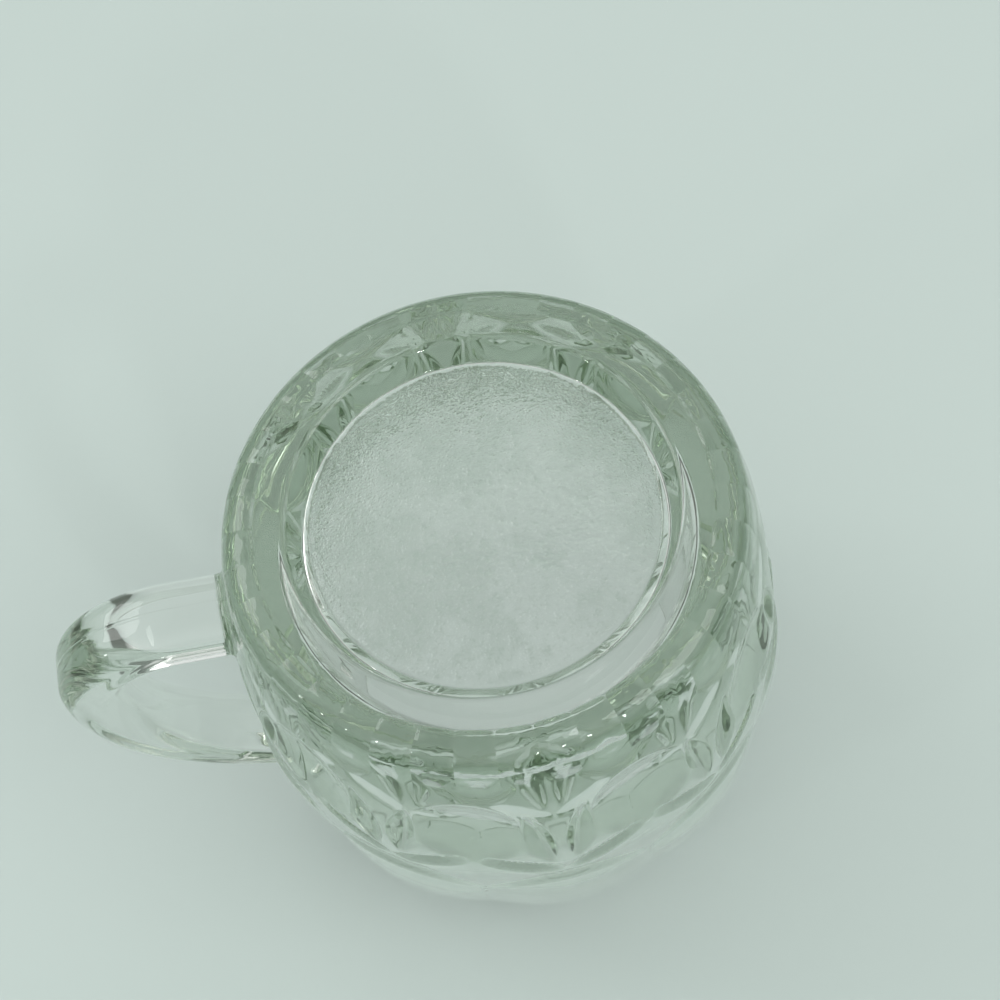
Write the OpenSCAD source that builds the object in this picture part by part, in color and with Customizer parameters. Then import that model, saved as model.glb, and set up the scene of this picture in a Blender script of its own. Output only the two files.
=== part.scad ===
// Pressed-glass barrel mug with a looped handle.
// Z = 0 is the plane of the bearing ring, the mouth faces +Z and the handle is on +X.

/* [Body] */
// Height from the bearing ring to the rim
mug_h = 95; // [88:1:104]
// Outside diameter of the plain barrel at its fullest
belly_d = 91.5; // [88:0.5:96]
// Height of the fullest part above the bearing ring
belly_z = 47; // [43:1:52]
// Distance that the side comes in from the belly down to the base plane
heel_in = 6.75; // [5:0.25:9]
// Distance that the side comes in from the belly up to the rim
rim_in = 7.25; // [6:0.25:8.5]
// Radius that rounds the heel into the bearing ring
heel_round = 4.5; // [3:0.25:5]
// Radius on each edge of the rim
lip_round = 1.6; // [1:0.1:1.8]

/* [Inside] */
// Thickness of the glass at the mouth
lip_w = 4; // [3.75:0.25:5.5]
// Draft of the inside wall, so that the plunger lifts out
draft_angle = 1.3; // [0.5:0.1:1.6]
// Glass between the base recess and the floor of the cup
base_t = 7.5; // [6:0.5:13]
// Radius between the inside wall and the floor
floor_round = 1.5; // [1:0.5:12]

/* [Base recess] */
// Distance from the heel's outline in to the recess
ring_w = 9.3; // [6:0.1:10]
// Width of the sloping side between the bearing ring and the flat disc
slope_w = 2.9; // [2:0.1:6]
// Depth of the flat disc above the bearing ring
recess_depth = 4; // [2:0.25:5]

/* [Handle] */
// Height of the lowest point of the handle's centre line
handle_low_z = 14.4; // [13:0.1:17]
// Distance from the belly's side to the outermost point of the handle's centre line
handle_out = 23.35; // [20:0.05:28]
// Radius of the lower bend, on the centre line
bend_r = 15.4; // [12:0.1:17]
// Radius of the long grip, on the centre line
grip_r = 45.2; // [43:0.1:48]
// Angle by which the lower arm falls as it leaves the body
foot_fall = 8.2; // [4:0.1:11]
// Width of the handle, across the mug
handle_w = 12.3; // [10:0.1:14]
// Thickness of the handle, away from the mug
handle_t = 10.4; // [9:0.1:12]
// Radius on the handle's four edges
handle_round = 3.9; // [3:0.1:4.5]

/* [Fans] */
// Number of fans and petals round the body
fan_count = 10; // [8:2:12]
// Plain glass left on each side of the handle
strip_margin = 1.2; // [0.6:0.1:2.5]
// Height of the middle of the upright leaves
leaf_z = 26.5; // [24:0.5:29]
// Length of an upright leaf
leaf_l = 22; // [16:0.5:24]
// Depth of an upright leaf
leaf_depth = 2; // [1:0.1:2.6]
// Distance between the middles of the two upright leaves
leaf_gap = 6.4; // [5:0.1:8]
// Angle by which each upright leaf leans out
leaf_lean = 8; // [0:1:14]
// Height of the middle of the low leaves
wing_z = 37; // [34:0.5:39]
// Length of a low leaf
wing_l = 15; // [12:0.5:16]
// Depth of a low leaf
wing_depth = 1.7; // [1:0.1:2.2]
// Distance between the middles of the two low leaves
wing_gap = 13.6; // [12:0.2:15]
// Angle between a low leaf and the upright
wing_lean = 57; // [45:1:70]
// Half of the angle between the two faces of a leaf
leaf_half_angle = 50; // [40:1:58]
// Height of the middle of the thumbprints between the fans
thumb_z = 22.5; // [20:0.5:25]
// Height of a thumbprint
thumb_l = 22; // [16:0.5:24]
// Depth of a thumbprint
thumb_depth = 2.2; // [1:0.1:2.6]

/* [Petals] */
// Rise of a petal above the plain barrel
petal_rise = 1.2; // [0.6:0.1:1.6]
// Height where a petal stands out the most
petal_z = 53; // [50:0.5:58]
// Height of the lowest point of a petal's round end
petal_foot_z = 44; // [42:0.5:47]
// Height where the petals fade into the rim
petal_top_z = 86; // [80:0.5:90]
// Radius of a petal seen from above
petal_r = 30; // [26:0.5:34]
// Slope of the edge round a petal's lower end, from the petal's face
petal_edge_angle = 50; // [30:1:70]

/* [Hidden] */
$fn = 72;
body_fn = 180;

// One overrun serves every cut
over = 2;
quarter_turn = 90;
glass_colour = [0.72, 0.80, 0.73];

belly_r = belly_d / 2;
rim_r = belly_r - rim_in;
mouth_r = rim_r - lip_w;
recess_r = belly_r - heel_in - ring_w;
disc_r = recess_r - slope_w;
inner_z = recess_depth + base_t;

// Radius of a circle whose side is upright at the belly and that narrows by in over rise
function side_arc_r(rise, in) = (rise * rise + in * in) / (2 * in);
low_arc_r = side_arc_r(belly_z, heel_in);
top_arc_r = side_arc_r(mug_h - belly_z, rim_in);

// The plain barrel's radius, and the angle of its side from the upright, at height z
function arc_r(z) = z < belly_z ? low_arc_r : top_arc_r;
function barrel_r(z) = belly_r - arc_r(z) + sqrt(pow(arc_r(z), 2) - pow(z - belly_z, 2));
function barrel_tilt(z) = asin((belly_z - z) / arc_r(z));

// Where a round of radius q, lying inside the side's curve at height z, has its middle
function round_mid_r(z, q) = belly_r - arc_r(z) + sqrt(pow(arc_r(z) - q, 2) - pow(z - belly_z, 2));
function round_touch_z(z, q) = belly_z + (z - belly_z) * arc_r(z) / (arc_r(z) - q);
lip_z = mug_h - lip_round;
heel_mid_r = round_mid_r(heel_round, heel_round);
lip_mid_r = round_mid_r(lip_z, lip_round);

// Radius of a grinding wheel that cuts a leaf of length l and depth d in glass of radius r
function wheel_r(l, d, r) = 1 / (8 * d / (l * l) - 1 / r);
fan_step = 360 / fan_count;
// A leaf's middle lies this far round from its fan, for a distance gap between two of them
function gap_angle(gap, z) = asin(gap / (2 * barrel_r(z)));

// The petals' own axis stands this far from the mug's axis
petal_off = belly_r + petal_rise - petal_r;
// The petals' side curve passes from the full rise at petal_z to the plain barrel at petal_top_z
petal_arc_r = side_arc_r(petal_top_z - petal_z, belly_r + petal_rise - barrel_r(petal_top_z));
// A petal turns this far each way about its own axis, to where the next one begins
petal_half_angle = fan_step / 2 + asin(petal_off * sin(fan_step / 2) / petal_r);
// The round end is as wide as one petal
petal_end_r = belly_r * sin(fan_step / 2);
petal_spring_z = petal_foot_z + petal_end_r;

// The centre line of the handle: a straight foot, a quarter bend and the long grip
bend_z = handle_low_z + bend_r;
grip_x = belly_r + handle_out - grip_r;
bend_x = grip_x + (grip_r - bend_r) * cos(foot_fall);
// Both ends run on to the rim's radius, and the body's face then cuts them
foot_l = bend_x - rim_r + over;
grip_end_angle = acos((rim_r - grip_x) / grip_r);

module side_half(z_from, z_to) {
    intersection() {
        translate([belly_r - arc_r(z_from), belly_z]) circle(r = arc_r(z_from));
        translate([0, min(z_from, z_to)]) square([belly_r, abs(z_to - z_from)]);
    }
}

// The plain barrel's half outline, solid to the axis
module barrel_outline() {
    side_half(round_touch_z(heel_round, heel_round), belly_z);
    side_half(round_touch_z(lip_z, lip_round), belly_z);
    intersection() {
        translate([heel_mid_r, heel_round]) circle(r = heel_round);
        square([belly_r, mug_h]);
    }
    translate([lip_mid_r, lip_z]) circle(r = lip_round);
    square([heel_mid_r, mug_h]);
    translate([0, belly_z]) square([lip_mid_r, mug_h - belly_z]);
}

module barrel() {
    rotate_extrude($fn = body_fn) barrel_outline($fn = body_fn);
}

// The cup's inside: a drafted wall and a rounded floor
module cup_outline() {
    draft = tan(draft_angle);
    mid_z = inner_z + floor_round;
    mid_r = mouth_r - (mug_h - mid_z) * draft - floor_round / cos(draft_angle);
    touch_z = mid_z - floor_round * sin(draft_angle);
    polygon([
        [0, inner_z],
        [mid_r, inner_z],
        [mid_r, mid_z],
        [mouth_r - (mug_h - touch_z) * draft, touch_z],
        [mouth_r + over * draft, mug_h + over],
        [0, mug_h + over]
    ]);
    translate([mid_r, mid_z]) circle(r = floor_round);
    // The rim's inner edge is rounded by the square corner less a circle
    difference() {
        translate([mouth_r - lip_round, lip_z]) square([2 * lip_round, lip_round + over]);
        translate([mouth_r + lip_round, lip_z]) circle(r = lip_round);
        translate([mouth_r + lip_round, lip_z]) square([lip_round, lip_round + over]);
    }
}

module recess_outline() {
    side = slope_w / recess_depth;
    polygon([
        [0, -over],
        [recess_r + over * side, -over],
        [disc_r, recess_depth],
        [0, recess_depth]
    ]);
}

// Puts a cutter on the barrel's face at height z, square to the face, leaning from the upright
module on_face(angle, z, lean) {
    rotate([0, 0, angle])
        translate([barrel_r(z), 0, z])
            rotate([0, barrel_tilt(z), 0])
                rotate([lean, 0, 0])
                    children();
}

// A leaf with two sloping faces, as the sharp edge of a grinding wheel leaves it
module leaf_cut(l, depth, across_r) {
    r = wheel_r(l, depth, across_r);
    turn = asin(l / r);
    rim = depth + over;
    translate([r - depth, 0, 0])
        rotate([90, 0, 0])
            rotate_extrude(start = 180 - turn, angle = 2 * turn)
                polygon([
                    [r - rim, -rim * tan(leaf_half_angle)],
                    [r, 0],
                    [r - rim, rim * tan(leaf_half_angle)]
                ]);
}

// A shallow round hollow
module hollow_cut(l, depth, across_r) {
    r = wheel_r(l, depth, across_r);
    rotate([0, 90, 0])
        rotate_extrude()
            intersection() {
                translate([0, r - depth]) circle(r = r);
                translate([0, -depth]) square([l, depth + over]);
            }
}

module fan_cuts() {
    for (side = [-1, 1]) {
        on_face(side * gap_angle(leaf_gap, leaf_z), leaf_z, side * leaf_lean)
            leaf_cut(leaf_l, leaf_depth, low_arc_r);
        on_face(side * gap_angle(wing_gap, wing_z), wing_z, side * wing_lean)
            leaf_cut(wing_l, wing_depth, belly_r);
    }
}

// One petal: a strip of a smaller barrel on an axis of its own, with a round lower end
module petal() {
    root_r = petal_r - petal_rise - over;
    edge_grow = petal_rise / tan(petal_edge_angle);
    intersection() {
        translate([petal_off, 0, 0])
            rotate_extrude(start = -petal_half_angle, angle = 2 * petal_half_angle)
                difference() {
                    intersection() {
                        translate([petal_r - petal_arc_r, petal_z]) circle(r = petal_arc_r);
                        translate([0, petal_foot_z]) square([petal_r, petal_top_z - petal_foot_z]);
                    }
                    translate([root_r - petal_arc_r, petal_z]) circle(r = petal_arc_r);
                }
        union() {
            translate([belly_r, 0, petal_spring_z])
                rotate([0, 90, 0])
                    cylinder(h = 4 * petal_rise, r1 = petal_end_r + 2 * edge_grow,
                             r2 = petal_end_r - 2 * edge_grow, center = true);
            translate([0, -belly_r, petal_spring_z])
                cube([mug_h, belly_d, mug_h]);
        }
    }
}

// The plain strip that the handle stands on
module strip() {
    width = handle_w + 2 * strip_margin;
    translate([0, -width / 2, 0]) cube([mug_h, width, mug_h]);
}

module mug_body() {
    color(glass_colour)
    difference() {
        union() {
            barrel();
            difference() {
                for (i = [0 : fan_count - 1])
                    rotate([0, 0, (i + 0.5) * fan_step]) petal();
                strip();
            }
        }
        for (i = [0 : fan_count - 1])
            rotate([0, 0, (i + 0.5) * fan_step]) fan_cuts();
        // No thumbprint lies under the handle
        for (i = [1 : fan_count - 1])
            on_face(i * fan_step, thumb_z, 0)
                hollow_cut(thumb_l, thumb_depth, low_arc_r);
        rotate_extrude($fn = body_fn) cup_outline($fn = body_fn);
        rotate_extrude($fn = body_fn) recess_outline();
    }
}

// The handle's section: x points away from the mug, y across it
module handle_section() {
    flat_t = handle_t - 2 * handle_round;
    flat_w = handle_w - 2 * handle_round;
    square([handle_t, flat_w], center = true);
    square([flat_t, handle_w], center = true);
    for (x = [-1, 1], y = [-1, 1])
        translate([x * flat_t / 2, y * flat_w / 2]) circle(r = handle_round);
}

// An arc of the handle about the y axis, from the plane z = 0 upwards
module handle_arc(r, angle) {
    rotate([90, 0, 0])
        rotate_extrude(angle = angle)
            translate([r, 0]) handle_section();
}

// The whole sweep is drawn with its foot level, and the fall then turns it about the bend's centre
module handle_sweep() {
    translate([bend_x, 0, bend_z])
        rotate([0, foot_fall, 0]) {
            translate([0, 0, -bend_r])
                rotate([0, -90, 0])
                    linear_extrude(foot_l) handle_section();
            rotate([0, 90, 0]) handle_arc(bend_r, quarter_turn);
            translate([bend_r - grip_r, 0, 0])
                handle_arc(grip_r, grip_end_angle + foot_fall);
        }
}

module handle() {
    color(glass_colour)
    difference() {
        handle_sweep();
        barrel();
    }
}

mug_body();
handle();
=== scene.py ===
import math

import bmesh
import bpy
import numpy as np
from bpy.props import FloatProperty, FloatVectorProperty, IntProperty, PointerProperty
from mathutils import Matrix, Vector


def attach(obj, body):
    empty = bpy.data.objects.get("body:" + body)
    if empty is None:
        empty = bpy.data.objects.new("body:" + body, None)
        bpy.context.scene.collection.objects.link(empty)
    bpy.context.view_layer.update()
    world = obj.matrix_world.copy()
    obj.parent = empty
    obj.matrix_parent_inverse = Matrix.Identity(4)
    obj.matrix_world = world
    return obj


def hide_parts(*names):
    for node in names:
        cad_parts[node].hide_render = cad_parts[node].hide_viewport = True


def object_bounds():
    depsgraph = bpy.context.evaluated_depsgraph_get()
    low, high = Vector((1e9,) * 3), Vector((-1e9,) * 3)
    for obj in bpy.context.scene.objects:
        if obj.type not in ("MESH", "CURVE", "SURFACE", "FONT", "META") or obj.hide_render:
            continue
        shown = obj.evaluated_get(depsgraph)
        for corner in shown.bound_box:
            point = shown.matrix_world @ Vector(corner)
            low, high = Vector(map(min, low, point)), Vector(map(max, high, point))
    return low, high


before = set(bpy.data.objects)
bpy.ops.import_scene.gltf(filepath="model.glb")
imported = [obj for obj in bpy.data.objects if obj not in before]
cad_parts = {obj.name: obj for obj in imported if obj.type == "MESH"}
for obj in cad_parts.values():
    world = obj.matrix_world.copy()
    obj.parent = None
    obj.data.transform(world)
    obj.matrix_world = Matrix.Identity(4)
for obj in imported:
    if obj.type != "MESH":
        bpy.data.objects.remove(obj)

bl_info = {
    "name": "Barrel Mug",
    "version": (1, 0, 0),
    "blender": (4, 5, 0),
    "location": "3D View > Sidebar > Barrel Mug",
    "description": "Pressed-glass barrel mug with leaf fans, petals and a looped handle",
    "category": "Add Mesh",
}

CAD_LOW, CAD_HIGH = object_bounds()
MUG_H = CAD_HIGH[2] - CAD_LOW[2]
QUARTER = math.pi / 2

# A point this near the plain barrel's face lies on it, and points this near each other are one
ON_FACE = 1e-5
MERGE = 1e-7
# Slope of the petals' edge beside the plain strip under the handle
STRIP_EDGE = math.radians(60)
# Widths of the rings of faces round the flat disc and round the flat floor of the cup
DISC_RIM, FLOOR_RIM = 0.0015, 0.002
# Heights up the side, with the mesh rows up to each: close together where the fans are pressed
LOW_ROWS = ((0.011, 6), (0.0465, 72))
TOP_ROWS = ((0.062, 22), (0.087, 9))
# Rows along the handle's lower arm, its bend and its grip
ARM_ROWS, BEND_ROWS, GRIP_ROWS = 14, 36, 90
# Share of the grip's length past which its rows crowd towards the root
CROWDED_SHARE = 0.9
# Halvings that find where the handle meets the body
HALVINGS = 40
# Half the width of the field where the body meets the handle's roots, and its depth
ROOT_FIELD, ROOT_DEPTH = 0.011, 0.0002
# Share of a mesh column over which the body's points slide onto the edge of a root
SLIDE_SHARE = 0.55

# Noise scales for each metre: slow and quick waves, smears, the disc's grain and dents, the
# blotches and speckles of painted shade on the disc, and the knurls' chips
SLOW_WAVE, QUICK_WAVE, SMEAR = 75.0, 260.0, 45.0
GRIT, DENTS, PAINTED_PATCHES, PAINTED_SPECKS, CHIPS = 1100.0, 380.0, 90.0, 1100.0, 420.0
KNURLS = 40
# Heights between which the knurls fade out, the parting line's half width from crest to foot,
# and the radii between which it starts
KNURL_FADE = (0.004, 0.008)
SEAM_HALF_W = (0.0001, 0.0004)
SEAM_FROM_R = (0.036, 0.038)

# Surroundings by how steeply they are looked at: dark level with the mug, white above and below
SKY_STOPS = ((0.20, (0.13, 0.15, 0.13, 1)), (0.45, (0.95, 0.97, 0.96, 1)),
             (0.85, (1.0, 1.0, 1.0, 1)), (1.0, (0.80, 0.83, 0.82, 1)))
# Places of the soft lamps beside the mug, with their height above or below its middle
SOFT_LAMPS = (("key", -0.55, -0.35, 0.75), ("fill", 0.6, 0.45, 0.7))
SPARKS = (("near_spark", (-0.1, -0.6, -0.35)), ("left_spark", (0.8, -0.35, -0.4)))
SOFT_SIZE, SPARK_SIZE = 0.5, 0.05
TABLE_REACH, FLOOR_REACH = 0.5, 1.4
# How often light may be thrown back and forth inside the thick glass before it is lost
BOUNCES = 28


def length(name, text, default):
    return FloatProperty(name=name, description=text, default=default, min=0.0, precision=5,
                         subtype="DISTANCE", unit="LENGTH")


def turn(name, text, degrees):
    return FloatProperty(name=name, description=text, default=math.radians(degrees),
                         subtype="ANGLE", unit="ROTATION")


def share(name, text, default):
    return FloatProperty(name=name, description=text, default=default, min=0.0, max=1.0,
                         subtype="FACTOR")


def colour(name, text, default):
    return FloatVectorProperty(name=name, description=text, default=default, size=3,
                               min=0.0, max=1.0, subtype="COLOR")


class BodySizes(bpy.types.PropertyGroup):
    height: length("Height", "From the bearing ring to the rim", MUG_H)
    belly_d: length("Belly", "Outside diameter of the plain barrel at its fullest", 0.0915)
    belly_z: length("Belly height", "Height of the fullest part", 0.047)
    heel_d: length("Heel", "Diameter where the side's curve meets the base plane", 0.078)
    rim_d: length("Rim", "Outside diameter at the rim", 0.077)
    heel_round: length("Heel round", "Radius into the bearing ring", 0.0045)
    lip_round: length("Lip round", "Radius on each edge of the rim", 0.0016)
    mouth_d: length("Mouth", "Diameter of the mouth inside the rim", 0.069)
    draft: turn("Draft", "Slope of the inside wall", 1.3)
    base_t: length("Base", "Glass between the recess and the floor of the cup", 0.0075)
    floor_round: length("Floor round", "Radius between inside wall and floor", 0.0015)
    recess_d: length("Recess", "Diameter of the recess at the bearing ring", 0.0594)
    disc_d: length("Disc", "Diameter of the flat disc in the recess", 0.0536)
    recess_depth: length("Recess depth", "Depth of the disc", 0.004)
    edge_round: length("Edge round", "Fire-polished radius on the recess's edges", 0.0015)
    columns: IntProperty(name="Columns", description="Mesh columns round the body",
                         default=640, min=60)


class PatternSizes(bpy.types.PropertyGroup):
    fan_count: IntProperty(name="Fans", description="Fans and petals round the body",
                           default=10, min=4)
    strip_w: length("Plain strip", "Width of the plain strip under the handle", 0.0147)
    leaf_z: length("Leaf height", "Height of the middle of the upright leaves", 0.0265)
    leaf_l: length("Leaf length", "Length of an upright leaf", 0.022)
    leaf_depth: length("Leaf depth", "Depth of an upright leaf", 0.002)
    leaf_gap: length("Leaf gap", "Between the middles of the upright leaves", 0.0064)
    leaf_lean: turn("Leaf lean", "Lean of an upright leaf", 8)
    wing_z: length("Wing height", "Height of the middle of the low leaves", 0.037)
    wing_l: length("Wing length", "Length of a low leaf", 0.015)
    wing_depth: length("Wing depth", "Depth of a low leaf", 0.0017)
    wing_gap: length("Wing gap", "Between the middles of the low leaves", 0.0136)
    wing_lean: turn("Wing lean", "Between a low leaf and the upright", 57)
    half_angle: turn("Leaf angle", "Half of the angle between a leaf's two faces", 50)
    thumb_z: length("Thumb height", "Height of the middle of the thumbprints", 0.0225)
    thumb_l: length("Thumb length", "Height of a thumbprint", 0.022)
    thumb_depth: length("Thumb depth", "Depth of a thumbprint", 0.0022)
    petal_rise: length("Petal rise", "Rise of a petal above the barrel", 0.0012)
    petal_z: length("Petal height", "Height where a petal stands out the most", 0.053)
    petal_foot_z: length("Petal foot", "Lowest point of a petal's round end", 0.044)
    petal_top_z: length("Petal top", "Height where the petals fade out", 0.086)
    petal_r: length("Petal radius", "Radius of a petal seen from above", 0.030)
    petal_edge: turn("Petal edge", "Slope of the edge round a petal's end", 50)
    softness: length("Softness", "How far the pressed edges are rounded over", 0.0003)


class HandleSizes(bpy.types.PropertyGroup):
    low_z: length("Lowest point", "Height of the centre line's lowest point", 0.0144)
    reach: length("Reach", "From the mug's axis to the centre line's outermost point", 0.0691)
    bend_r: length("Bend", "Radius of the lower bend", 0.0154)
    grip_r: length("Grip", "Radius of the long grip", 0.0452)
    fall: turn("Fall", "Fall of the lower arm as it leaves the body", 8.2)
    width: length("Width", "Across the mug", 0.0123)
    thickness: length("Thickness", "Away from the mug", 0.0104)
    edge_round: length("Edges", "Radius on the four edges", 0.0039)
    root_round: length("Root", "Radius where the handle grows out of the body", 0.0011)


class GlassFinish(bpy.types.PropertyGroup):
    tint: colour("Tint", "Colour that the glass keeps over a long path", (0.36, 0.52, 0.33))
    density: FloatProperty(name="Density", description="Strength of the tint for each metre",
                           default=10.0, min=0.0)
    ior: FloatProperty(name="IOR", description="Refractive index", default=1.5, min=1.0)
    wave: length("Waves", "Depth of the slow waves in the pressed faces", 0.00007)
    peel: length("Peel", "Depth of the hammered texture on the disc", 0.0004)
    knurl: length("Knurls", "Height of the knurls on the bearing ring", 0.00035)
    seam: length("Seam", "Height of the mould's parting line", 0.0001)
    # Painted shade: this colour darkens the glass in blotches and speckles on the hammered disc and
    # on each knurl, standing in for shade
    shade: colour("Shade", "Colour in the dips of the hammered disc and the knurls",
                  (0.74, 0.79, 0.75))


class StageLook(bpy.types.PropertyGroup):
    ground: colour("Ground", "Colour of the floor and the backdrop", (0.545, 0.630, 0.596))
    sky: share("Sky", "Strength of the soft light from all round", 0.92)
    through: share("Through glass", "How far glass shows the ground without shadows", 0.55)
    lamp_power: FloatProperty(name="Lamps", description="Power of each large soft lamp",
                              default=1.76, min=0.0, unit="POWER")
    spark_power: FloatProperty(name="Sparks", description="Power of each small glinting lamp",
                               default=0.4, min=0.0, unit="POWER")
    lens: FloatProperty(name="Lens", description="Focal length in millimetres", default=54.0)
    camera_at: FloatVectorProperty(name="Camera", description="Place of the camera", size=3,
                                   default=(-0.00051, -0.09828, -0.19951), unit="LENGTH")
    camera_turn: FloatVectorProperty(name="Camera turn", description="Turn of the camera",
                                     size=3, subtype="EULER",
                                     default=[math.radians(a)
                                              for a in (-154.225, -5.416, -167.440)])


def side_arc(rise, inward):
    """Radius of a circle whose side is upright at the belly and comes in over a rise."""
    return (rise * rise + inward * inward) / (2 * inward)


class Barrel:
    """The plain barrel that every cut, petal and handle root is measured from."""

    def __init__(self, s):
        self.belly_r, self.belly_z = s.belly_d / 2, s.belly_z
        self.low = side_arc(s.belly_z, self.belly_r - s.heel_d / 2)
        self.top = side_arc(s.height - s.belly_z, self.belly_r - s.rim_d / 2)

    def arc(self, z):
        return self.low if z < self.belly_z else self.top

    def radius(self, z):
        arc = np.where(np.asarray(z) < self.belly_z, self.low, self.top)
        return self.belly_r - arc + np.sqrt(arc ** 2 - (z - self.belly_z) ** 2)

    def tilt(self, z):
        return math.asin((self.belly_z - z) / self.arc(z))

    def round_mid(self, z, q):
        """Distance from the axis to the middle of a round that lies inside the side's curve."""
        arc = self.arc(z)
        return self.belly_r - arc + math.sqrt((arc - q) ** 2 - (z - self.belly_z) ** 2)

    def face(self, angle, z, lean):
        """Frame on the barrel's face: X points out, Z along the barrel, then both lean."""
        return (Matrix.Rotation(angle, 4, "Z")
                @ Matrix.Translation((float(self.radius(z)), 0, z))
                @ Matrix.Rotation(self.tilt(z), 4, "Y")
                @ Matrix.Rotation(lean, 4, "X"))


def sweep(bm, geom, centre, axis, angle, steps, step=(0, 0, 0)):
    """Spin or draw out loose edges or a vertex, and give back what the last step made."""
    out = bmesh.ops.spin(bm, geom=geom, cent=centre, dvec=step, axis=axis, angle=angle,
                         steps=steps)
    return out["geom_last"]


def draw_arc(bm, vert, centre_x, centre_z, angle, steps):
    """Carry the outline on along an arc. A positive angle turns from +X towards +Z."""
    last = sweep(bm, [vert], (centre_x, 0, centre_z), (0, -1, 0), angle, steps)
    return [g for g in last if isinstance(g, bmesh.types.BMVert)][0]


def draw_line(bm, vert, x, z, steps=1):
    """Carry the outline on along a straight line to (x, z)."""
    step = (Vector((x, 0, z)) - vert.co) / steps
    last = sweep(bm, [vert], (0, 0, 0), (0, 1, 0), 0, steps, step)
    return [g for g in last if isinstance(g, bmesh.types.BMVert)][0]


def soft_min(a, b, k):
    return np.minimum(a, b) - np.maximum(k - np.abs(a - b), 0) ** 2 / (4 * k)


def soft_max(a, b, k):
    return -soft_min(-a, -b, k)


def read_points(mesh):
    co = np.empty(len(mesh.vertices) * 3, np.float32)
    mesh.vertices.foreach_get("co", co)
    return co.reshape(-1, 3).astype(float)


def write_points(mesh, co):
    mesh.vertices.foreach_set("co", co.astype(np.float32).ravel())
    mesh.update()


def moved(matrix, co):
    m = np.array(matrix)
    return co @ m[:3, :3].T + m[:3, 3]


def turned(co, angle):
    """Turn each point round Z by its own angle."""
    c, s = np.cos(angle), np.sin(angle)
    return np.stack([c * co[:, 0] - s * co[:, 1], s * co[:, 0] + c * co[:, 1], co[:, 2]], 1)


def wheel(l, depth, across_r):
    """Radius of a grinding wheel that cuts a leaf of length l and this depth."""
    return 1 / (8 * depth / (l * l) - 1 / across_r)


def press_leaf(co, at, l, depth, across_r, rise, soft):
    """Push the points down to a leaf, whose face rises to each side of its lowest line."""
    p = moved(at.inverted(), co)
    r = wheel(l, depth, across_r)
    rim = np.maximum(r - rise(np.abs(p[:, 1])), 0)
    face = r - depth - np.sqrt(np.maximum(rim ** 2 - p[:, 2] ** 2, 0))
    p[:, 0] = soft_min(p[:, 0], face, soft)
    return moved(at, p)


def press_hollow(co, at, l, depth, across_r, soft):
    """Push the points down to a shallow round hollow."""
    p = moved(at.inverted(), co)
    r = wheel(l, depth, across_r)
    face = r - depth - np.sqrt(np.maximum(r ** 2 - p[:, 1] ** 2 - p[:, 2] ** 2, 0))
    p[:, 0] = soft_min(p[:, 0], face, soft)
    return moved(at, p)


def raise_petals(co, barrel, s):
    """Lift the points to the petals, which stand round their own axes."""
    step = 2 * math.pi / s.fan_count
    top_r = barrel.belly_r + s.petal_rise
    off = top_r - s.petal_r
    arc = side_arc(s.petal_top_z - s.petal_z, top_r - float(barrel.radius(s.petal_top_z)))
    end_r = barrel.belly_r * math.sin(step / 2)
    z = co[:, 2]
    angle = np.arctan2(co[:, 1], co[:, 0])
    own = s.petal_r - arc + np.sqrt(np.maximum(arc ** 2 - (z - s.petal_z) ** 2, 0))
    r = off * np.cos(angle) + np.sqrt(np.maximum(own ** 2 - (off * np.sin(angle)) ** 2, 0))
    below = np.minimum(z - s.petal_foot_z - end_r, 0)
    out = np.sqrt((r * np.sin(angle)) ** 2 + below ** 2)
    edge = barrel.belly_r + (end_r - out) * math.tan(s.petal_edge)
    edge = np.where(below < 0, edge / np.cos(angle), top_r + s.softness)
    return soft_min(r, edge, s.softness)


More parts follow.
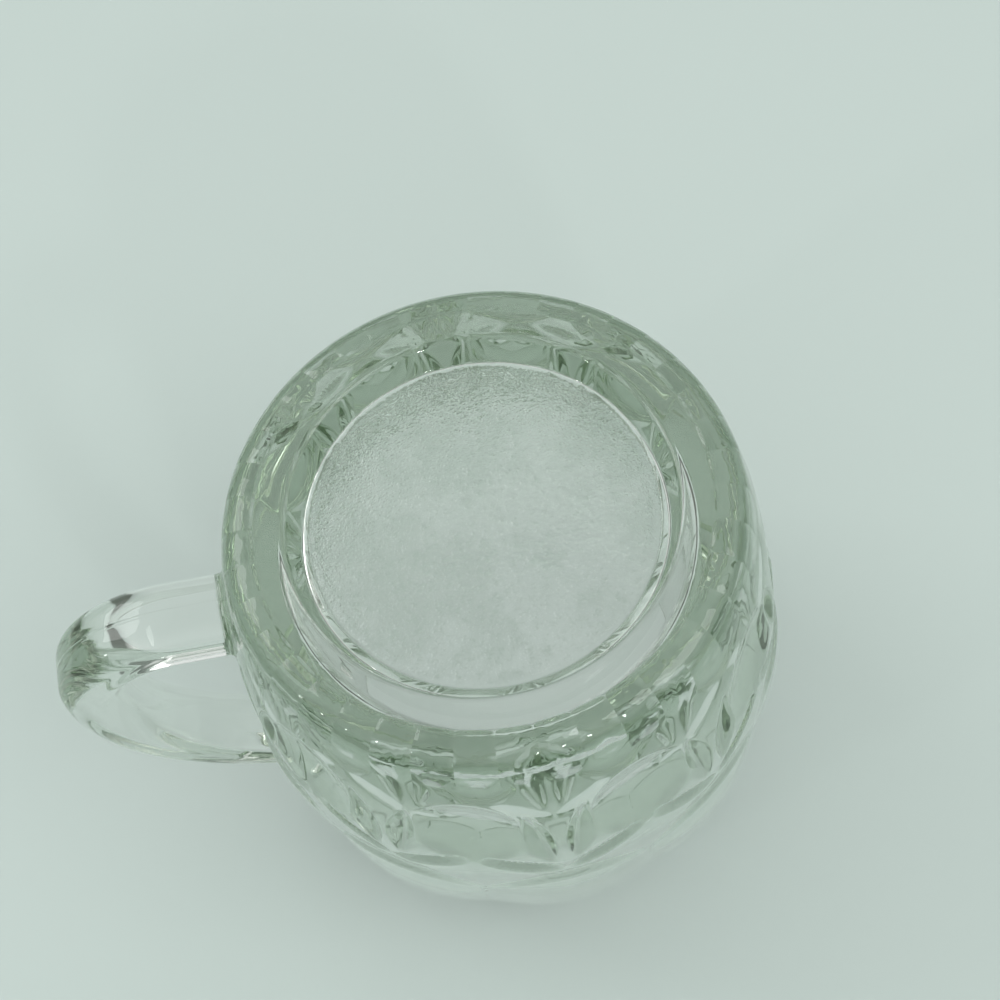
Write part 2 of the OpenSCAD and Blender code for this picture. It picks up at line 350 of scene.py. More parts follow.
def press_pattern(mesh, body, s):
    """Press the fans, thumbprints and petals into the outside of the spun barrel."""
    barrel = Barrel(body)
    co = read_points(mesh)
    r = np.hypot(co[:, 0], co[:, 1])
    side = np.abs(r - barrel.radius(np.clip(co[:, 2], 0, body.height))) < ON_FACE
    side &= (co[:, 2] > body.heel_round) & (co[:, 2] < body.height - 2 * body.lip_round)
    p = co[side]
    step = 2 * math.pi / s.fan_count
    angle = np.arctan2(p[:, 1], p[:, 0])

    fan = (np.floor(angle / step) + 0.5) * step
    q = turned(p, -fan)
    plain_r = np.hypot(q[:, 0], q[:, 1])
    from_strip = np.abs(p[:, 1]) - s.strip_w / 2
    limit = plain_r + np.maximum(from_strip, 0) * math.tan(STRIP_EDGE)
    limit = np.where(p[:, 0] > 0, limit, plain_r + s.petal_rise * 2)
    lifted = soft_min(raise_petals(q, barrel, s), limit, s.softness / 2)
    lift = soft_max(lifted, plain_r, s.softness) / plain_r
    lift = np.where((from_strip < 0) & (p[:, 0] > 0), 1, lift)
    q[:, :2] *= lift[:, None]
    wing_w = s.wing_depth * math.tan(s.half_angle)
    wing_round = (wing_w ** 2 + s.wing_depth ** 2) / (2 * s.wing_depth)

    def two_faces(away):
        """Rise of an upright leaf's face, away from its lowest line."""
        return (np.sqrt(away ** 2 + s.softness ** 2) - s.softness / 2) / math.tan(s.half_angle)

    def round_face(away):
        """Rise of a low leaf's face, away from its lowest line."""
        return wing_round - np.sqrt(np.maximum(wing_round ** 2 - away ** 2, 0))

    for hand in (-1, 1):
        turn_by = hand * math.asin(s.leaf_gap / 2 / float(barrel.radius(s.leaf_z)))
        at = barrel.face(turn_by, s.leaf_z, hand * s.leaf_lean)
        q = press_leaf(q, at, s.leaf_l, s.leaf_depth, barrel.low, two_faces, s.softness)
        turn_by = hand * math.asin(s.wing_gap / 2 / float(barrel.radius(s.wing_z)))
        at = barrel.face(turn_by, s.wing_z, hand * s.wing_lean)
        q = press_leaf(q, at, s.wing_l, s.wing_depth, barrel.belly_r, round_face, s.softness / 3)
    p = turned(q, fan)

    thumb = np.round(angle / step) * step
    q = press_hollow(turned(p, -thumb), barrel.face(0, s.thumb_z, 0), s.thumb_l,
                     s.thumb_depth, barrel.low, s.softness)
    co[side] = np.where((np.abs(thumb) > step / 2)[:, None], turned(q, thumb), p)
    write_points(mesh, co)


def draw_outline(bm, s, barrel):
    """Draw the mug's half outline from the disc, up the outside and down into the cup."""
    heel_mid = barrel.round_mid(s.heel_round, s.heel_round)
    lip_z = s.height - s.lip_round
    lip_mid = barrel.round_mid(lip_z, s.lip_round)
    heel_tilt = math.asin((s.belly_z - s.heel_round) / (barrel.low - s.heel_round))
    lip_tilt = math.asin((lip_z - s.belly_z) / (barrel.top - s.lip_round))

    slope = math.atan2(s.recess_depth, (s.recess_d - s.disc_d) / 2)
    back = s.edge_round * math.tan(slope / 2)
    v = bm.verts.new((s.disc_d / 2 - back - DISC_RIM, 0, s.recess_depth))
    v = draw_line(bm, v, s.disc_d / 2 - back, s.recess_depth)
    v = draw_arc(bm, v, v.co.x, s.recess_depth - s.edge_round, -slope, 4)
    ring_x = s.recess_d / 2 + back
    v = draw_line(bm, v, ring_x - s.edge_round * math.sin(slope),
                  s.edge_round * (1 - math.cos(slope)))
    v = draw_arc(bm, v, ring_x, s.edge_round, slope, 5)
    v = draw_line(bm, v, heel_mid, 0)
    v = draw_arc(bm, v, heel_mid, s.heel_round, QUARTER - heel_tilt, 8)

    low_x = barrel.belly_r - barrel.low
    top_x = barrel.belly_r - barrel.top
    at = heel_tilt
    for z, steps in (*LOW_ROWS, (s.belly_z, 1)):
        to = math.asin((s.belly_z - z) / barrel.low)
        v = draw_arc(bm, v, low_x, s.belly_z, at - to, steps)
        at = to
    for z, steps in TOP_ROWS:
        to = math.asin((z - s.belly_z) / barrel.top)
        v = draw_arc(bm, v, top_x, s.belly_z, to - at, steps)
        at = to
    v = draw_arc(bm, v, top_x, s.belly_z, lip_tilt - at, 2)
    v = draw_arc(bm, v, lip_mid, lip_z, QUARTER - lip_tilt, 5)

    wall_r = s.mouth_d / 2
    v = draw_line(bm, v, wall_r + s.lip_round, s.height)
    v = draw_arc(bm, v, wall_r + s.lip_round, lip_z, QUARTER - s.draft, 6)
    floor_z = s.recess_depth + s.base_t
    mid_z = floor_z + s.floor_round
    mid_r = wall_r - (s.height - mid_z) * math.tan(s.draft) - s.floor_round / math.cos(s.draft)
    v = draw_line(bm, v, mid_r + s.floor_round * math.cos(s.draft),
                  mid_z - s.floor_round * math.sin(s.draft), 4)
    v = draw_arc(bm, v, mid_r, mid_z, -(QUARTER - s.draft), 5)
    draw_line(bm, v, mid_r - FLOOR_RIM, floor_z)


def close_up(bm):
    """Fill the open rings, merge doubles and turn the faces outwards."""
    bmesh.ops.remove_doubles(bm, verts=bm.verts, dist=MERGE)
    rings = [e for e in bm.edges if e.is_boundary]
    bmesh.ops.holes_fill(bm, edges=rings, sides=0)
    bmesh.ops.recalc_face_normals(bm, faces=bm.faces)


def finish_piece(bm, name, material):
    """Turn a bmesh into a smooth piece of the object."""
    mesh = bpy.data.meshes.new(name)
    for f in bm.faces:
        f.smooth = True
    bm.to_mesh(mesh)
    bm.free()
    mesh.materials.append(material)
    piece = bpy.data.objects.new(name, mesh)
    bpy.context.scene.collection.objects.link(piece)
    return piece


def handle_frame(s):
    """The level frame of the handle's sweep: its origin is the middle of the bend."""
    bend_x = s.reach - s.grip_r + (s.grip_r - s.bend_r) * math.cos(s.fall)
    return Matrix.Translation((bend_x, 0, s.low_z + s.bend_r)) @ Matrix.Rotation(s.fall, 4, "Y")


def section_normal(a, b, s):
    """Outward normal of the rounded section at the offsets a, away, and b, across."""
    flat_a, flat_b = s.thickness / 2 - s.edge_round, s.width / 2 - s.edge_round
    na, nb = a - np.clip(a, -flat_a, flat_a), b - np.clip(b, -flat_b, flat_b)
    size = np.maximum(np.hypot(na, nb), 1e-9)
    return na / size, nb / size


def fit_roots(mesh, s, barrel, level, foot_l, grip_angle):
    """Slide both ends along their sweep onto the barrel and flare them into it."""
    to_level = level.inverted()
    co = moved(to_level, read_points(mesh))
    grip_x = s.bend_r - s.grip_r

    def foot(t, a, b):
        """Place on the straight lower arm, t along it."""
        return np.stack([-t, b, -s.bend_r - a], 1)

    def grip(t, a, b):
        """Place on the grip's arc, t along it."""
        r, at = s.grip_r + a, t / s.grip_r
        return np.stack([grip_x + r * np.cos(at), b, r * np.sin(at)], 1)

    on_foot = (co[:, 0] < -MERGE) & (co[:, 2] < -s.bend_r + s.thickness)
    on_grip = (co[:, 2] > MERGE) & (co[:, 0] > grip_x) & ~on_foot
    for which, path, long in ((on_foot, foot, foot_l), (on_grip, grip, grip_angle * s.grip_r)):
        p = co[which]
        if path is foot:
            t, a, b = -p[:, 0], -s.bend_r - p[:, 2], p[:, 1]
        else:
            reach = np.hypot(p[:, 0] - grip_x, p[:, 2])
            t = np.arctan2(p[:, 2], p[:, 0] - grip_x) * s.grip_r
            a, b = reach - s.grip_r, p[:, 1]
        na, nb = section_normal(a, b, s)
        low, high = np.zeros(len(t)), np.full(len(t), long)
        for _ in range(HALVINGS):
            mid = (low + high) / 2
            w = moved(level, path(mid, a + na * s.root_round, b + nb * s.root_round))
            inside = np.hypot(w[:, 0], w[:, 1]) < barrel.radius(w[:, 2])
            high = np.where(inside, mid, high)
            low = np.where(inside, low, mid)
        u = t / long
        if path is foot:
            u = u * (2 - u)
        else:
            rest = 1 - CROWDED_SHARE
            near = np.clip((u - CROWDED_SHARE) / rest, 0, 1)
            u = np.where(u > CROWDED_SHARE, CROWDED_SHARE + rest * near * (2 - near), u)
        t = u * high
        d = np.clip(high - t, 0, s.root_round)
        flare = s.root_round - np.sqrt(s.root_round ** 2 - (s.root_round - d) ** 2)
        co[which] = path(t, a + na * flare, b + nb * flare)
    write_points(mesh, moved(level, co))


def root_loops(mesh):
    """The closed polylines of the handle's two ends, low one first."""
    bm = bmesh.new()
    bm.from_mesh(mesh)
    loops = [[v.co.copy() for v in f.verts] for f in bm.faces if len(f.verts) > 4]
    bm.free()
    return sorted(loops, key=lambda l: sum(p.z for p in l) / len(l))


def unrolled(co, barrel):
    """Distance round the barrel and height, for points on its face."""
    return np.stack([np.arctan2(co[:, 1], co[:, 0]) * barrel.radius(co[:, 2]), co[:, 2]], 1)


def nearest_on(poly, p):
    """For each point, a closed line's nearest place, its distance and whether the line holds it."""
    a, b = poly, np.roll(poly, -1, 0)
    ab = b - a
    t = ((p[:, None] - a) * ab).sum(2) / (ab ** 2).sum(1)
    spots = a + np.clip(t, 0, 1)[..., None] * ab
    far = ((p[:, None] - spots) ** 2).sum(2)
    best = far.argmin(1)
    spot = spots[np.arange(len(p)), best]
    crosses = (a[:, 1] > p[:, 1:2]) != (b[:, 1] > p[:, 1:2])
    with np.errstate(divide="ignore", invalid="ignore"):
        at = a[:, 0] + (p[:, 1:2] - a[:, 1]) / ab[:, 1] * ab[:, 0]
    inside = (crosses & (p[:, :1] < at)).sum(1) % 2 == 1
    return spot, np.sqrt(far.min(1)), inside


def open_joints(body_mesh, loops, barrel, cell):
    """Fit the body's mesh to the handle's two roots and mark the faces that the roots cover."""
    co = read_points(body_mesh)
    off_face = np.hypot(co[:, 0], co[:, 1]) - barrel.radius(np.clip(co[:, 2], 0, MUG_H))
    near = np.flatnonzero((np.abs(off_face) < ON_FACE) & (co[:, 0] > 0)
                          & (np.abs(co[:, 1]) < ROOT_FIELD))
    for loop in loops:
        flat = unrolled(co[near], barrel)
        spot, far, _ = nearest_on(unrolled(np.array(loop), barrel), flat)
        close = far < cell
        z = spot[close, 1]
        r = barrel.radius(z)
        angle = spot[close, 0] / r
        co[near[close]] = np.stack([r * np.cos(angle), r * np.sin(angle), z], 1)
    write_points(body_mesh, co)
    mids = np.empty(len(body_mesh.polygons) * 3, np.float32)
    body_mesh.polygons.foreach_get("center", mids)
    mids = mids.reshape(-1, 3).astype(float)
    cover = np.zeros(len(mids))
    r = np.hypot(mids[:, 0], mids[:, 1])
    near = np.flatnonzero((mids[:, 0] > 0) & (np.abs(mids[:, 1]) < ROOT_FIELD)
                          & (r > barrel.radius(np.clip(mids[:, 2], 0, MUG_H)) - ROOT_DEPTH))
    for loop in loops:
        _, _, inside = nearest_on(unrolled(np.array(loop), barrel), unrolled(mids[near], barrel))
        cover[near[inside]] = 1
    mark_faces(body_mesh, cover)


def mark_faces(mesh, values):
    """Store on each face whether it lies inside the joint, where the glass runs on."""
    mark = mesh.attributes.new("joint", "FLOAT", "FACE")
    mark.data.foreach_set("value", np.asarray(values, np.float32))


class Tree:
    """Adds nodes to a node tree and links them."""

    def __init__(self, nodes, links):
        self.nodes, self.links = nodes, links

    def add(self, kind, **values):
        node = self.nodes.new(kind)
        for key, value in values.items():
            setattr(node, key, value)
        return node

    def math(self, operation, a, b=None, c=None):
        node = self.add("ShaderNodeMath", operation=operation)
        for i, value in enumerate((a, b, c)):
            if value is not None:
                self.feed(node.inputs[i], value)
        return node.outputs[0]

    def feed(self, socket, value):
        """Link another node's output to a socket, or set its plain value."""
        if isinstance(value, bpy.types.NodeSocket):
            self.links.new(value, socket)
        else:
            socket.default_value = value

    def noise(self, vector, scale, detail=2.0, rough=0.5):
        node = self.add("ShaderNodeTexNoise")
        self.feed(node.inputs["Vector"], vector)
        self.feed(node.inputs["Scale"], scale)
        self.feed(node.inputs["Detail"], detail)
        self.feed(node.inputs["Roughness"], rough)
        return node.outputs["Fac"]

    def fade(self, value, low, high, to_low=0.0, to_high=1.0):
        node = self.add("ShaderNodeMapRange", interpolation_type="SMOOTHSTEP")
        for i, v in enumerate((value, low, high, to_low, to_high)):
            self.feed(node.inputs[i], v)
        return node.outputs[0]


def relief_group():
    """Node group: height of the pressed relief in metres, and a mask of painted shade that darkens
    the glass's colour on the hammered disc and the knurls.
    """
    group = bpy.data.node_groups.new("pressed_relief", "ShaderNodeTree")
    for name in ("Wave", "Peel", "Knurl", "Seam", "Disc radius", "Ring radius", "Recess depth"):
        group.interface.new_socket(name, in_out="INPUT", socket_type="NodeSocketFloat")
    for name in ("Height", "Shade"):
        group.interface.new_socket(name, in_out="OUTPUT", socket_type="NodeSocketFloat")
    t = Tree(group.nodes, group.links)
    given = t.add("NodeGroupInput").outputs
    put = t.add("NodeGroupOutput").inputs
    where = t.add("ShaderNodeTexCoord").outputs["Object"]
    split = t.add("ShaderNodeSeparateXYZ")
    t.feed(split.inputs[0], where)
    x, y, z = split.outputs
    r = t.math("SQRT", t.math("ADD", t.math("MULTIPLY", x, x), t.math("MULTIPLY", y, y)))

    quick = t.math("MULTIPLY", t.noise(where, QUICK_WAVE, 1.0), 0.3)
    wave = t.math("ADD", t.noise(where, SLOW_WAVE, 1.0), quick)
    height = t.math("MULTIPLY", wave, given["Wave"])

    # The hammered disc in the recess
    above = t.math("SUBTRACT", t.math("MULTIPLY", given["Recess depth"], 1.5), z)
    low = t.fade(above, 0.0, 0.0002)
    on_disc = t.fade(t.math("SUBTRACT", given["Disc radius"], r), -0.0005, 0.0015)
    on_disc = t.math("MULTIPLY", on_disc, low)
    grit = t.noise(where, GRIT, 2.0, 0.7)
    dents = t.noise(where, DENTS, 1.0)
    peel = t.math("MULTIPLY", t.math("ADD", grit, dents), given["Peel"])
    peel = t.math("MULTIPLY", peel, on_disc)
    height = t.math("ADD", height, peel)
    # Painted shade: blotches and speckles on the disc that darken the glass's colour, standing in
    # for shade in the hammered texture
    painted_patches = t.math("MULTIPLY", t.fade(t.noise(where, PAINTED_PATCHES, 3.0, 0.7), 0.42, 0.62), 0.6)
    painted_specks = t.math("MULTIPLY", t.fade(t.noise(where, PAINTED_SPECKS, 2.0, 0.8), 0.5, 0.72), 0.7)
    shade = t.math("MULTIPLY", t.math("ADD", painted_patches, painted_specks), on_disc)

    # Low knurls round the bearing ring and the heel, some of them nearly worn away
    round_it = t.math("MULTIPLY", t.math("ARCTAN2", y, x), KNURLS / (2 * math.pi))
    across = t.math("SUBTRACT", t.math("MULTIPLY", t.math("FRACT", round_it), 2.0), 1.0)
    dome = t.math("SUBTRACT", 1.0, t.math("MULTIPLY", across, across))
    chance = t.add("ShaderNodeTexWhiteNoise", noise_dimensions="1D")
    t.feed(chance.inputs["W"], t.math("FLOOR", round_it))
    pick = chance.outputs["Value"]
    on_ring = t.fade(t.math("SUBTRACT", r, given["Ring radius"]), -0.0003, 0.0005)
    on_ring = t.math("MULTIPLY", on_ring, t.fade(z, *KNURL_FADE, 1.0, 0.0))
    chips = t.math("MULTIPLY", t.noise(where, CHIPS, 1.0, 0.5), 0.25)
    knurl = t.math("MULTIPLY", t.math("ADD", t.math("MULTIPLY", pick, 0.7), 0.3), dome)
    knurl = t.math("ADD", knurl, chips)
    knurl = t.math("MULTIPLY", t.math("MULTIPLY", knurl, given["Knurl"]), on_ring)
    height = t.math("ADD", height, knurl)
    # Painted shade: each knurl's glass darkened by a random amount, standing in for shade on the
    # ring
    painted_blocks = t.math("MULTIPLY", t.fade(across, -0.9, -0.7), pick)
    shade = t.math("ADD", shade, t.math("MULTIPLY", t.math("MULTIPLY", painted_blocks, 0.9), on_ring))

    # The mould's parting line, in the plane of the handle
    seam = t.fade(t.math("ABSOLUTE", y), *SEAM_HALF_W, 1.0, 0.0)
    seam = t.math("MULTIPLY", seam, t.fade(r, *SEAM_FROM_R))
    height = t.math("ADD", height, t.math("MULTIPLY", seam, given["Seam"]))
    t.feed(put["Height"], height)
    t.feed(put["Shade"], shade)
    return group


def glass_material(name, finish, body, relief):
    """Clear pressed glass with a green tint in its depth, faint smears, and painted shade darkening
    its colour on the disc and the knurls.
    """
    mat = bpy.data.materials.new(name)
    mat.use_nodes = True
    nt = mat.node_tree
    t = Tree(nt.nodes, nt.links)
    shader = nt.nodes["Principled BSDF"]
    out = nt.nodes["Material Output"]
    shader.inputs["IOR"].default_value = finish.ior
    shader.inputs["Transmission Weight"].default_value = 1.0
    inside = t.add("ShaderNodeVolumeAbsorption")
    inside.inputs["Color"].default_value = (*finish.tint, 1)
    inside.inputs["Density"].default_value = finish.density
    t.feed(out.inputs["Volume"], inside.outputs[0])

    where = t.add("ShaderNodeTexCoord").outputs["Object"]
    smear = t.noise(where, SMEAR, 3.0, 0.7)
    t.feed(shader.inputs["Roughness"], t.fade(smear, 0.45, 0.8, 0.0, 0.05))

    height = t.add("ShaderNodeGroup", node_tree=relief)
    for key, value in (("Wave", finish.wave), ("Peel", finish.peel), ("Knurl", finish.knurl),
                       ("Seam", finish.seam), ("Disc radius", body.disc_d / 2),
                       ("Ring radius", body.heel_d / 2 - body.heel_round),
                       ("Recess depth", body.recess_depth)):
        height.inputs[key].default_value = value
    # Painted shade: the relief's shade mask darkens the glass's base colour towards the shade
    # colour on the disc and the knurls
    tone = t.add("ShaderNodeMix", data_type="RGBA")
    t.feed(tone.inputs["Factor"], height.outputs["Shade"])
    t.feed(tone.inputs["A"], (1, 1, 1, 1))
    t.feed(tone.inputs["B"], (*finish.shade, 1))
    t.feed(shader.inputs["Base Color"], tone.outputs["Result"])
    bump = t.add("ShaderNodeBump")
    bump.inputs["Strength"].default_value = 1.0
    bump.inputs["Distance"].default_value = 1.0
    t.feed(bump.inputs["Height"], height.outputs["Height"])
    t.feed(shader.inputs["Normal"], bump.outputs["Normal"])

    joint = t.add("ShaderNodeAttribute", attribute_name="joint")
    t.feed(shader.inputs["Alpha"], t.math("SUBTRACT", 1.0, joint.outputs["Fac"]))


def ground_material(name, tone, reach, through_share, graze_fade):
    """Pale matt ground that is seen from its front only and fades out far away."""
    mat = bpy.data.materials.new(name)
    mat.use_nodes = True
    nt = mat.node_tree
    nt.nodes.clear()
    t = Tree(nt.nodes, nt.links)
    out = t.add("ShaderNodeOutputMaterial")
    matt = t.add("ShaderNodeBsdfDiffuse")
    clear = t.add("ShaderNodeBsdfTransparent")
    where = t.add("ShaderNodeTexCoord").outputs["Object"]
    cloud = t.noise(where, 3.0, 3.0)
    mix = t.add("ShaderNodeMix", data_type="RGBA")
    t.feed(mix.inputs["Factor"], t.fade(cloud, 0.35, 0.7))
    t.feed(mix.inputs["A"], (*tone, 1))
    t.feed(mix.inputs["B"], (*[c * 0.985 for c in tone], 1))
    t.feed(matt.inputs["Color"], mix.outputs["Result"])
    back = t.add("ShaderNodeNewGeometry").outputs["Backfacing"]
    far = t.add("ShaderNodeVectorMath", operation="LENGTH")
    flat = t.add("ShaderNodeVectorMath", operation="MULTIPLY")
    t.feed(flat.inputs[0], where)
    t.feed(flat.inputs[1], (1, 1, 0))
    t.feed(far.inputs[0], flat.outputs[0])
    fade = t.fade(far.outputs["Value"], reach * 0.6, reach * 0.98)
    gone = t.math("MAXIMUM", back, fade)
    if graze_fade:
        graze = t.add("ShaderNodeLayerWeight").outputs["Facing"]
        seen = t.add("ShaderNodeLightPath").outputs["Is Camera Ray"]
        gone = t.math("MAXIMUM", gone, t.math("MULTIPLY", seen, t.fade(graze, 0.45, 0.6)))
    both = t.add("ShaderNodeMixShader")
    # Rays that come through glass see the ground nearly unshaded, so the glass shows it as pale
    glow = t.add("ShaderNodeEmission")
    t.feed(glow.inputs["Color"], (*tone, 1))
    through = t.add("ShaderNodeMixShader")
    path = t.add("ShaderNodeLightPath").outputs
    t.feed(through.inputs[0], t.math("MULTIPLY", path["Is Transmission Ray"], through_share))
    t.feed(through.inputs[1], matt.outputs[0])
    t.feed(through.inputs[2], glow.outputs[0])
    t.feed(both.inputs[0], gone)
    t.feed(both.inputs[1], through.outputs[0])
    t.feed(both.inputs[2], clear.outputs[0])
    t.feed(out.inputs["Surface"], both.outputs[0])
    return mat


def add_ground(name, z, up, reach, look):
    """A round sheet of ground at height z: the floor faces up, the table of the rim down."""
    bm = bmesh.new()
    bmesh.ops.create_circle(bm, cap_ends=True, segments=96, radius=reach)
    if not up:
        bmesh.ops.reverse_faces(bm, faces=bm.faces)
    bmesh.ops.translate(bm, verts=bm.verts, vec=(0, 0, z))
    mesh = bpy.data.meshes.new(name)
    bm.to_mesh(mesh)
    bm.free()
    mesh.materials.append(ground_material(name, look.ground, reach, look.through, not up))
    ground = bpy.data.objects.new(name, mesh)
    bpy.context.scene.collection.objects.link(ground)
    ground.visible_shadow = False
    ground.visible_diffuse = False
    ground.visible_glossy = not up
    ground.visible_transmission = not up


def add_lamp(name, at, size, power, target):
    """A square lamp that points at the mug."""
    light = bpy.data.lights.new(name, "AREA")
    light.shape = "SQUARE"
    light.size = size
    light.energy = power
    lamp = bpy.data.objects.new(name, light)
    bpy.context.scene.collection.objects.link(lamp)
    lamp.location = at
    lamp.rotation_euler = (Vector(target) - Vector(at)).to_track_quat("-Z", "Y").to_euler()


def build_world(look):
    """Pale surroundings: even for the camera, with a dark horizon for the glass."""
    world = bpy.data.worlds.new("studio")
    bpy.context.scene.world = world
    world.use_nodes = True
    nt = world.node_tree
    nt.nodes.clear()
    t = Tree(nt.nodes, nt.links)
    out = t.add("ShaderNodeOutputWorld")
    plain = t.add("ShaderNodeBackground")
    t.feed(plain.inputs["Color"], (*look.ground, 1))
    t.feed(plain.inputs["Strength"], 1.0)
    soft = t.add("ShaderNodeBackground")
    split = t.add("ShaderNodeSeparateXYZ")
    t.feed(split.inputs[0], t.add("ShaderNodeTexCoord").outputs["Generated"])
    height = t.math("ABSOLUTE", split.outputs["Z"])
    ramp = t.add("ShaderNodeValToRGB")
    t.feed(ramp.inputs[0], height)
    stops = ramp.color_ramp.elements
    for i, (at, tone) in enumerate(SKY_STOPS):
        stop = stops[i] if i < 2 else stops.new(at)
        stop.position, stop.color = at, tone
    t.feed(soft.inputs["Color"], ramp.outputs["Color"])
    t.feed(soft.inputs["Strength"], look.sky)
    both = t.add("ShaderNodeMixShader")
    t.feed(both.inputs[0], t.add("ShaderNodeLightPath").outputs["Is Camera Ray"])
    t.feed(both.inputs[1], soft.outputs[0])
    t.feed(both.inputs[2], plain.outputs[0])
    t.feed(out.inputs["Surface"], both.outputs[0])


class MUG_OT_handle(bpy.types.Operator):
    """Sweep the looped handle and flare its two roots into the body"""

    bl_idname = "mug.handle"
    bl_label = "Handle"

    def execute(self, context):
        scene = context.scene
        s, body = scene.mug_handle, scene.mug_body
        barrel = Barrel(body)
        level = handle_frame(s)
        bend_x = level.translation.x
        foot_l = bend_x - body.rim_d / 2
        grip_angle = math.acos((body.rim_d / 2 - s.reach + s.grip_r) / s.grip_r) + s.fall

        bm = bmesh.new()
        bmesh.ops.create_grid(bm, x_segments=1, y_segments=1, size=0.5)
        bmesh.ops.scale(bm, verts=bm.verts, vec=(s.thickness, s.width, 1))
        bmesh.ops.bevel(bm, geom=bm.verts[:], offset=s.edge_round, offset_type="OFFSET",
                        affect="VERTICES", segments=9, profile=0.5, material=-1)
        bmesh.ops.delete(bm, geom=bm.faces[:], context="FACES_ONLY")
        long = [e for e in bm.edges if e.calc_length() > s.edge_round / 4]
        bmesh.ops.subdivide_edges(bm, edges=long, cuts=3)
        bmesh.ops.rotate(bm, verts=bm.verts, matrix=Matrix.Rotation(QUARTER, 3, "Y"))
        bmesh.ops.translate(bm, verts=bm.verts, vec=(-foot_l, 0, -s.bend_r))
        geom = bm.verts[:] + bm.edges[:]
        geom = sweep(bm, geom, (0, 0, 0), (0, 1, 0), 0, ARM_ROWS, (foot_l / ARM_ROWS, 0, 0))
        geom = sweep(bm, geom, (0, 0, 0), (0, -1, 0), QUARTER, BEND_ROWS)
        sweep(bm, geom, (s.bend_r - s.grip_r, 0, 0), (0, -1, 0), grip_angle, GRIP_ROWS)
        bmesh.ops.transform(bm, matrix=level, verts=bm.verts)
        close_up(bm)
        piece = finish_piece(bm, "looped_handle", bpy.data.materials["clear_handle_glass"])
        fit_roots(piece.data, s, barrel, level, foot_l, grip_angle)
        mark_faces(piece.data, [len(p.vertices) > 4 for p in piece.data.polygons])
        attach(piece, "root")
        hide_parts("handle")
        return {"FINISHED"}


class MUG_OT_body(bpy.types.Operator):
    """Spin the barrel and press its fans, thumbprints and petals"""

    bl_idname = "mug.body"
    bl_label = "Body"

    def execute(self, context):
        scene = context.scene
        s = scene.mug_body
        barrel = Barrel(s)
        bm = bmesh.new()
        draw_outline(bm, s, barrel)
        count = scene.mug_pattern.fan_count
        sweep(bm, bm.verts[:] + bm.edges[:], (0, 0, 0), (0, 0, 1), 2 * math.pi / count,
              s.columns // count)
        bmesh.ops.spin(bm, geom=bm.verts[:] + bm.edges[:] + bm.faces[:], cent=(0, 0, 0),
                       dvec=(0, 0, 0), axis=(0, 0, 1), angle=2 * math.pi, steps=count,
                       use_duplicate=True)
        close_up(bm)
        piece = finish_piece(bm, "pressed_body", bpy.data.materials["clear_body_glass"])
        press_pattern(piece.data, s, scene.mug_pattern)
        loops = root_loops(bpy.data.objects["looped_handle"].data)
        column = math.pi * s.belly_d / s.columns
        open_joints(piece.data, loops, barrel, column * SLIDE_SHARE)
        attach(piece, "root")
        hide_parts("mug_body")
        return {"FINISHED"}


class MUG_OT_glass(bpy.types.Operator):
    """Make the pressed glass of the body and of the handle"""

    bl_idname = "mug.glass"
    bl_label = "Glass"

    def execute(self, context):
        scene = context.scene
        relief = relief_group()
        for name in ("clear_body_glass", "clear_handle_glass"):
            glass_material(name, scene.mug_glass, scene.mug_body, relief)
        return {"FINISHED"}


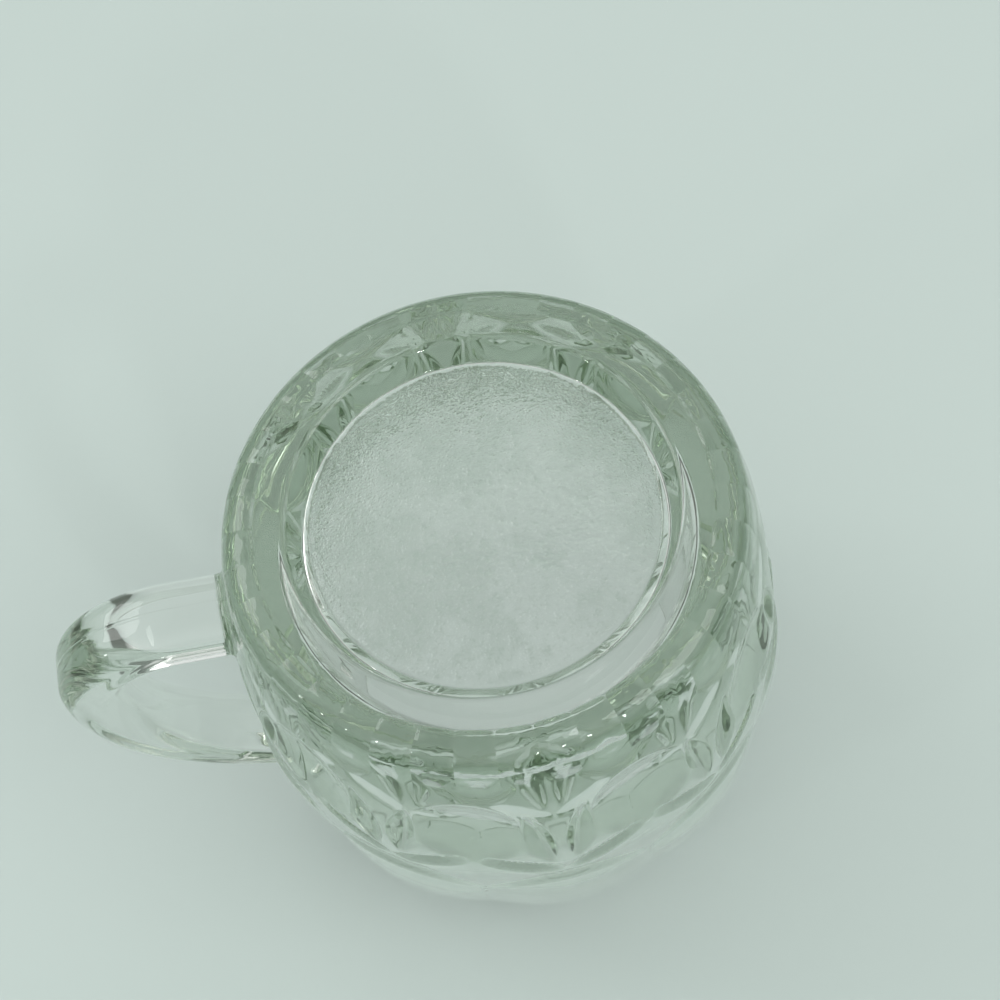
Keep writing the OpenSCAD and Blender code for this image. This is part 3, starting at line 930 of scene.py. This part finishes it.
class MUG_OT_stage(bpy.types.Operator):
    """Set the pale ground, the soft lamps, the surroundings and the camera"""

    bl_idname = "mug.stage"
    bl_label = "Stage"

    def execute(self, context):
        scene = context.scene
        look = scene.mug_stage
        add_ground("table_ground", MUG_H, False, TABLE_REACH, look)
        add_ground("floor_ground", 0.0, True, FLOOR_REACH, look)
        middle = MUG_H / 2
        for side, away in (("low", -1), ("high", 1)):
            for name, x, y, rise in SOFT_LAMPS:
                add_lamp(f"{side}_{name}", (x, y, middle + away * rise), SOFT_SIZE,
                         look.lamp_power, (0, 0, middle))
        for name, at in SPARKS:
            add_lamp(name, at, SPARK_SIZE, look.spark_power, (0, 0, middle))
        build_world(look)
        scene.view_settings.view_transform = "Standard"
        scene.cycles.max_bounces = BOUNCES
        scene.cycles.glossy_bounces = BOUNCES
        scene.cycles.transmission_bounces = BOUNCES
        cam = bpy.data.cameras.new("photo_camera")
        cam.lens = look.lens
        cam.sensor_width = 36.0
        cam.clip_start = 0.005
        camera = bpy.data.objects.new("photo_camera", cam)
        scene.collection.objects.link(camera)
        camera.location = look.camera_at
        camera.rotation_euler = look.camera_turn
        scene.camera = camera
        return {"FINISHED"}


class MUG_PT_panel(bpy.types.Panel):
    """Sizes, finish and stage of the barrel mug"""

    bl_label = "Barrel Mug"
    bl_idname = "MUG_PT_panel"
    bl_space_type = "VIEW_3D"
    bl_region_type = "UI"
    bl_category = "Barrel Mug"

    def draw(self, context):
        for title, group, operator in PARTS:
            box = self.layout.box()
            box.label(text=title)
            for name in getattr(context.scene, group).__annotations__:
                box.prop(getattr(context.scene, group), name)
            if operator:
                box.operator(operator)


PARTS = (
    ("Glass", "mug_glass", "mug.glass"),
    ("Handle", "mug_handle", "mug.handle"),
    ("Pattern", "mug_pattern", ""),
    ("Body", "mug_body", "mug.body"),
    ("Stage", "mug_stage", "mug.stage"),
)
GROUPS = {"mug_body": BodySizes, "mug_pattern": PatternSizes, "mug_handle": HandleSizes,
          "mug_glass": GlassFinish, "mug_stage": StageLook}
CLASSES = (MUG_OT_glass, MUG_OT_handle, MUG_OT_body, MUG_OT_stage, MUG_PT_panel)


def register():
    for group in GROUPS.values():
        bpy.utils.register_class(group)
    for cls in CLASSES:
        bpy.utils.register_class(cls)
    for name, group in GROUPS.items():
        setattr(bpy.types.Scene, name, PointerProperty(type=group))


def unregister():
    for name in GROUPS:
        delattr(bpy.types.Scene, name)
    for cls in reversed(CLASSES):
        bpy.utils.unregister_class(cls)
    for group in GROUPS.values():
        bpy.utils.unregister_class(group)


def main():
    register()
    bpy.ops.mug.glass()
    bpy.ops.mug.handle()
    bpy.ops.mug.body()
    bpy.ops.mug.stage()


if __name__ == "__main__":
    main()
